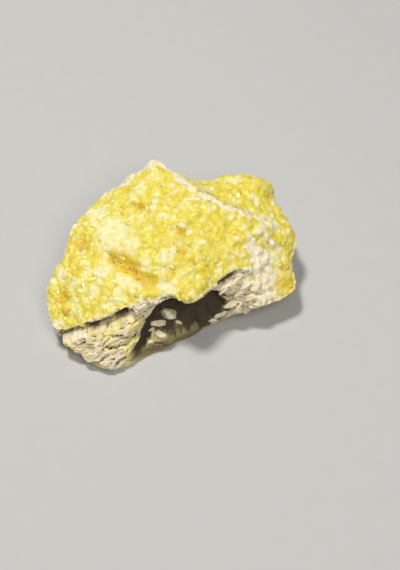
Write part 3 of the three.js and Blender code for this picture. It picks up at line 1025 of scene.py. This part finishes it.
class Nodes:
    """A material's nodes, with short ways to add the ones that the finishes use."""

    def __init__(self, name: str) -> None:
        """Start a material with one Principled shader.

        Args:
            name: Name of the material.
        """
        self.material = bpy.data.materials.new(name)
        self.material.use_nodes = True
        self.tree = self.material.node_tree
        self.tree.nodes.clear()
        self.shader = self.tree.nodes.new("ShaderNodeBsdfPrincipled")
        output = self.tree.nodes.new("ShaderNodeOutputMaterial")
        self.put(self.shader.outputs["BSDF"], output.inputs["Surface"])
        self.place = self.add("Mapping", "Vector", {
            "Scale": (1.0 / MM,) * 3, "Vector": self.add("TexCoord", "Object", {})})

    def put(self, value: object, socket: Socket) -> None:
        """Link a socket, or set it where the value is plain.

        Args:
            value: A socket, a number, a colour or a direction.
            socket: Where it goes.
        """
        if isinstance(value, Socket):
            self.tree.links.new(value, socket)
        elif socket.type == "RGBA":
            socket.default_value = (*value, 1.0)
        else:
            socket.default_value = value

    def add(self, kind: str, output: int | str, inputs: dict[int | str, object],
            **settings: object) -> Socket:
        """Add one node.

        Args:
            kind: Kind of shader node.
            output: Which of its outputs is wanted.
            inputs: What goes into its inputs.
            settings: Its other properties.

        Returns:
            The output.
        """
        node = self.tree.nodes.new("ShaderNode" + kind)
        for name, value in settings.items():
            setattr(node, name, value)
        for key, value in inputs.items():
            self.put(value, node.inputs[key])
        return node.outputs[output]

    def give(self, values: dict[str, object]) -> bpy.types.Material:
        """Give the shader its values and links, and hand over the finished material.

        Args:
            values: What goes into the shader's inputs.

        Returns:
            The material.
        """
        for name, value in values.items():
            self.put(value, self.shader.inputs[name])
        return self.material

    def noise(self, size: float, detail: float = 3.0, rough: float = 0.55,
              place: Socket | None = None) -> Socket:
        """Soft noise with lumps of a size in millimetres."""
        return self.add("TexNoise", "Fac", {
            "Scale": 1.0 / size, "Detail": detail, "Roughness": rough, "Vector": place or self.place})

    def cells(self, size: float) -> Socket:
        """A colour at random for each grain, of a size in millimetres."""
        return self.add("TexVoronoi", "Color", {"Scale": 1.0 / size, "Vector": self.place})

    def stored(self, name: str) -> Socket:
        """The place that a piece stores under a name."""
        return self.add("Attribute", "Vector", {}, attribute_name=name)

    def split(self, colour: Socket) -> tuple[Socket, ...]:
        """The three numbers in a colour."""
        return tuple(self.add("SeparateColor", 0, {"Color": colour}).node.outputs)

    def channels(self, name: str) -> tuple[Socket, ...]:
        """The three numbers that a piece stores under a name."""
        return self.split(self.add("Attribute", "Color", {}, attribute_name=name))

    def times(self, first: object, second: object) -> Socket:
        """One number times another, kept between 0 and 1."""
        return self.add("Math", 0, {0: first, 1: second}, operation="MULTIPLY", use_clamp=True)

    def ramp(self, value: object, low: float, high: float, to_low: float = 0.0,
             to_high: float = 1.0) -> Socket:
        """Ease a number from one range to another.

        Args:
            value: The number, or a socket.
            low: Where the range that it comes from starts.
            high: Where that range ends.
            to_low: Result at the start, and below it.
            to_high: Result at the end, and past it.

        Returns:
            The result.
        """
        return self.add("MapRange", "Result", {
            "Value": value, "From Min": low, "From Max": high, "To Min": to_low, "To Max": to_high,
        }, interpolation_type="SMOOTHSTEP")

    def mix(self, share: object, first: object, second: object) -> Socket:
        """Blend two colours by a share."""
        return self.add("Mix", 2, {0: share, 6: first, 7: second}, data_type="RGBA")

    def blend(self, share: object, first: object, second: object) -> Socket:
        """Blend two numbers by a share."""
        return self.add("Mix", 0, {0: share, 2: first, 3: second})

    def tints(self, body: object, *steps: tuple[object, ...]) -> Socket:
        """Lay tints over a colour one after another.

        Args:
            body: The colour underneath.
            steps: Each tint's colour, and the ramp that says how strong it is.

        Returns:
            The colour with all the tints.
        """
        for colour, *ramp in steps:
            body = self.mix(self.ramp(*ramp), body, colour)
        return body

    def facets(self, size: float, tilt: float) -> Socket:
        """A direction that tilts at random from one grain to the next.

        Args:
            size: Size of a grain in millimetres.
            tilt: How far a grain may tilt.

        Returns:
            The direction.
        """
        way = self.add("VectorMath", 0, {0: self.cells(size), 1: (0.5,) * 3}, operation="SUBTRACT")
        way = self.add("VectorMath", 0, {0: way, 1: (tilt,) * 3}, operation="MULTIPLY")
        face = self.add("NewGeometry", "Normal", {})
        way = self.add("VectorMath", 0, {0: face, 1: way}, operation="ADD")
        return self.add("VectorMath", 0, {0: way}, operation="NORMALIZE")

    def bump(self, height: object, distance: float, strength: float) -> Socket:
        """A fine relief, of a height in millimetres."""
        return self.add("Bump", "Normal", {
            "Distance": distance * MM, "Strength": strength, "Height": height})


@dataclass(frozen=True)
class SulfurTones:
    """Colours of the sulfur, shared by the crust and its crystals."""

    lemon: Colour = (0.81, 0.71, 0.10)
    deep: Colour = (0.77, 0.58, 0.035)
    amber: Colour = (0.66, 0.37, 0.014)
    pale: Colour = (0.85, 0.785, 0.33)
    chalk: Colour = (0.90, 0.85, 0.52)


@dataclass(frozen=True)
class StoneFinish:
    """Finish of the stone: granular sulfur over cream limestone."""

    tones: SulfurTones = SulfurTones()
    cream: Colour = (0.94, 0.86, 0.64)
    beige: Colour = (0.80, 0.68, 0.44)
    tan: Colour = (0.48, 0.35, 0.21)
    dusty: Colour = (0.88, 0.77, 0.26)
    blue: Colour = (0.36, 0.37, 0.38)
    rust: Colour = (0.36, 0.18, 0.08)
    straw: Colour = (0.78, 0.65, 0.34)
    chalky: Colour = (0.97, 0.91, 0.72)
    # Near-black painted shade, for creases, the hollow under the crust and the strip at its foot
    shade: Colour = (0.06, 0.043, 0.024)
    grain_size: float = 0.8
    grain_tilt: float = 0.75

    def make(self) -> bpy.types.Material:
        """Make the material.

        Returns:
            The material, which reads what the stone stored at its points.
        """
        kit = Nodes("sulfur_rock_finish")
        sulfur, powder, _ = kit.channels("crust_mix")
        _, _, crease = kit.channels("surface_mix")
        shine = kit.ramp(kit.noise(0.9), 0.35, 0.65, 0.36, 0.6)
        laid = kit.noise(1.5, 5.0, 0.62, kit.stored("laid"))
        fine = kit.times(kit.noise(0.5, 4.0, 0.7), 0.35)
        glassy = kit.times(sulfur, kit.ramp(powder, 0.1, 0.7, 1.0, 0.2))
        glassy = kit.times(glassy, kit.ramp(crease, 0.02, 0.25, 1.0, 0.0))
        some = kit.ramp(kit.split(kit.cells(self.grain_size))[0], 0.62, 0.74, 0.0, 0.8)
        return kit.give({
            "Base Color": kit.mix(sulfur, self._rock_colour(kit), self._sulfur_colour(kit)),
            "Roughness": kit.blend(sulfur, 0.9, kit.blend(powder, shine, 0.75)),
            "Normal": kit.bump(kit.blend(sulfur, laid, fine), 0.4, 0.5),
            "IOR": 1.5,
            "Subsurface Weight": kit.times(sulfur, 0.75),
            "Subsurface Radius": (1.0, 0.88, 0.5),
            "Subsurface Scale": 1.1 * MM,
            "Coat Weight": kit.times(glassy, some),
            "Coat Roughness": 0.18,
            "Coat IOR": 1.6,
            "Coat Normal": kit.facets(self.grain_size, self.grain_tilt),
        })

    def _sulfur_colour(self, kit: Nodes) -> Socket:
        """Colour of the crust: paler where it is powdery, deeper in honeyed spots, and deeper in creases
        as painted shade.

        Args:
            kit: Nodes of the material.

        Returns:
            The colour.
        """
        tones = self.tones
        _, powder, honey = kit.channels("crust_mix")
        _, grain, crease = kit.channels("surface_mix")
        _, _, rust = kit.channels("rock_mix")
        white = kit.tints(tones.pale, (tones.chalk, kit.noise(1.8), 0.38, 0.6))
        body = kit.tints(
            tones.lemon,
            (tones.deep, kit.noise(4.5), 0.4, 0.65, 0.0, 0.6),
            (tones.pale, grain, 0.5, 0.95, 0.0, 0.6),
            (tones.deep, grain, 0.4, 0.1, 0.0, 0.3),
            (white, powder, 0.08, 0.6),
            (tones.deep, honey, 0.2, 0.6, 0.0, 0.8),
            (tones.amber, honey, 0.5, 1.0, 0.0, 0.7))
        # Painted shade: deeper yellow in creases
        body = kit.mix(kit.times(crease, 0.5), body, tones.deep)
        return kit.tints(body, (self.rust, rust, 0.45, 0.9, 0.0, 0.85))

    def _rock_colour(self, kit: Nodes) -> Socket:
        """Colour of the limestone: clean, dusty, grey-blue or stained, with painted shade in creases and
        painted shadow under the crust.

        Args:
            kit: Nodes of the material.

        Returns:
            The colour.
        """
        dust, blue, rust = kit.channels("rock_mix")
        bare, _, crease = kit.channels("surface_mix")
        laid = kit.stored("laid")
        body = kit.tints(
            self.beige,
            (self.cream, kit.noise(3.4, 4.0, 0.6, laid), 0.38, 0.6),
            (self.tan, kit.noise(1.7, 4.0, 0.6, laid), 0.52, 0.68, 0.0, 0.55))
        clean = kit.tints(
            self.straw,
            (self.chalky, kit.noise(1.5, 4.0), 0.34, 0.56),
            (self.tan, kit.noise(2.8, 5.0, 0.65), 0.54, 0.66, 0.0, 0.35))
        return kit.tints(
            kit.mix(kit.times(bare, 0.85), body, clean),
            (self.dusty, dust, 0.15, 0.6, 0.0, 0.8),
            (self.blue, blue, 0.3, 0.8, 0.0, 0.9),
            (self.rust, rust, 0.25, 0.9, 0.0, 0.8),
            # Painted shade: tan, then near black, in creases, in the hollow under the crust and on the
            # strip at its foot
            (self.tan, crease, 0.1, 0.5, 0.0, 0.6),
            (self.shade, crease, 0.3, 0.75, 0.0, 0.96))


@dataclass(frozen=True)
class CrystalFinish:
    """Finish of the crystals: glassy, resinous sulfur."""

    tones: SulfurTones = SulfurTones()

    def make(self) -> bpy.types.Material:
        """Make the material.

        Returns:
            The material, which reads what each crystal stored at its corners.
        """
        tones = self.tones
        kit = Nodes("sulfur_crystal_finish")
        pale, honey, chance = kit.channels("crystal_mix")
        return kit.give({
            "Base Color": kit.tints(
                tones.lemon, (tones.deep, chance, 0.2, 0.9), (tones.chalk, pale, 0.25, 0.9),
                (tones.amber, honey, 0.25, 0.95), (tones.pale, kit.noise(0.7), 0.42, 0.7, 0.0, 0.45)),
            "Roughness": kit.ramp(kit.noise(0.6), 0.3, 0.7, 0.08, 0.30),
            "Normal": kit.bump(kit.noise(0.4), 0.06, 0.5),
            "IOR": 1.7,
            "Subsurface Weight": 0.25,
            "Subsurface Radius": (1.0, 0.97, 0.9),
            "Subsurface Scale": 0.25 * MM,
        })


@dataclass(frozen=True)
class FloorFinish:
    """Finish of the floor: plain pale board with the faintest grain."""

    light: Colour = (0.56, 0.555, 0.545)
    dark: Colour = (0.53, 0.525, 0.515)

    def make(self) -> bpy.types.Material:
        """Make the material, which has one colour in soft lumps of another."""
        kit = Nodes("floor_finish")
        return kit.give({"Base Color": kit.mix(kit.noise(6.0), self.light, self.dark), "Roughness": 0.85})


@dataclass(frozen=True)
class Lamp:
    """A square light that looks at the stone, with its distance and its side in metres.

    The azimuth is in degrees round from behind the stone, towards the left, the elevation in
    degrees above the floor, and the power in watts.
    """

    name: str
    azimuth: float
    elevation: float
    distance: float
    side: float
    power: float
    colour: Colour

    def hang(self) -> None:
        """Hang the light."""
        light = bpy.data.lights.new(self.name, "AREA")
        light.shape = "SQUARE"
        light.size = self.side
        light.energy = self.power
        light.color = self.colour
        around, up = math.radians(90.0 + self.azimuth), math.radians(self.elevation)
        way = Vector((math.cos(around) * math.cos(up), math.sin(around) * math.cos(up), math.sin(up)))
        lamp = to_scene(self.name, light)
        lamp.location = way * self.distance
        lamp.rotation_euler = way.to_track_quat("Z", "Y").to_euler()


@dataclass
class Studio:
    """The floor, the lights and the camera, with the floor's side in metres."""

    floor_size: float = 3.0
    camera_place: tuple[float, float, float] = (8.3, -238.31, 286.47)
    look_down: float = 50.1
    lens: float = 74.53
    sensor: float = 36.0
    lamps: tuple[Lamp, ...] = (
        Lamp("key", 50.0, 72.0, 0.9, 0.16, 5.8, (1.0, 0.985, 0.95)),
        Lamp("fill", 202.0, 54.0, 1.1, 0.6, 4.9, (1.0, 0.99, 0.97)),
    )
    sky_colour: Colour = (1.0, 0.99, 0.96)
    sky: float = 0.12

    def build(self) -> None:
        """Make the floor, the lights, the sky and the camera."""
        self._floor()
        for lamp in self.lamps:
            lamp.hang()
        self._sky()
        self._camera()

    def _floor(self) -> None:
        """Lay the floor."""
        shape = bmesh.new()
        bmesh.ops.create_grid(shape, x_segments=1, y_segments=1, size=self.floor_size / 2.0)
        floor = to_scene("floor", to_mesh(shape, "floor"))
        floor.data.materials.append(FloorFinish().make())

    def _sky(self) -> None:
        """Light the room evenly and faintly."""
        world = bpy.data.worlds.new("studio")
        world.use_nodes = True
        back = world.node_tree.nodes["Background"]
        back.inputs["Color"].default_value = (*self.sky_colour, 1.0)
        back.inputs["Strength"].default_value = self.sky
        bpy.context.scene.world = world
        bpy.context.scene.view_settings.view_transform = "Standard"

    def _camera(self) -> None:
        """Set up the camera."""
        data = bpy.data.cameras.new("camera")
        data.sensor_fit = "VERTICAL"
        data.sensor_height = self.sensor
        data.lens = self.lens
        data.clip_start = 0.01
        camera = to_scene("camera", data)
        camera.location = tuple(value * MM for value in self.camera_place)
        camera.rotation_euler = (math.radians(90.0 - self.look_down), 0.0, 0.0)
        bpy.context.scene.camera = camera


def main() -> None:
    """Build the specimen and its studio, and report each piece."""
    logging.basicConfig(level=logging.INFO, format="%(message)s")
    Studio().build()
    rocky, glassy = StoneFinish().make(), CrystalFinish().make()
    stone = Stone()
    stone.build()
    stone.dress(rocky)
    ends = BrokenEnds()
    ends.build()
    ends.dress(rocky)
    for crystals in (
        Crystals(name="sulfur_grains", count=170, smallest=0.9, largest=1.9, sunk=0.35,
                 habits=(Habit.GRAIN,), seed=51),
        Crystals(name="sulfur_crystals", count=60, smallest=1.0, largest=1.9, sunk=0.27,
                 habits=(Habit.DIPYRAMID, Habit.GRAIN), seed=52, likes_honey=0.95),
    ):
        crystals.build(stone)
        crystals.dress(glassy)


if __name__ == "__main__":
    main()
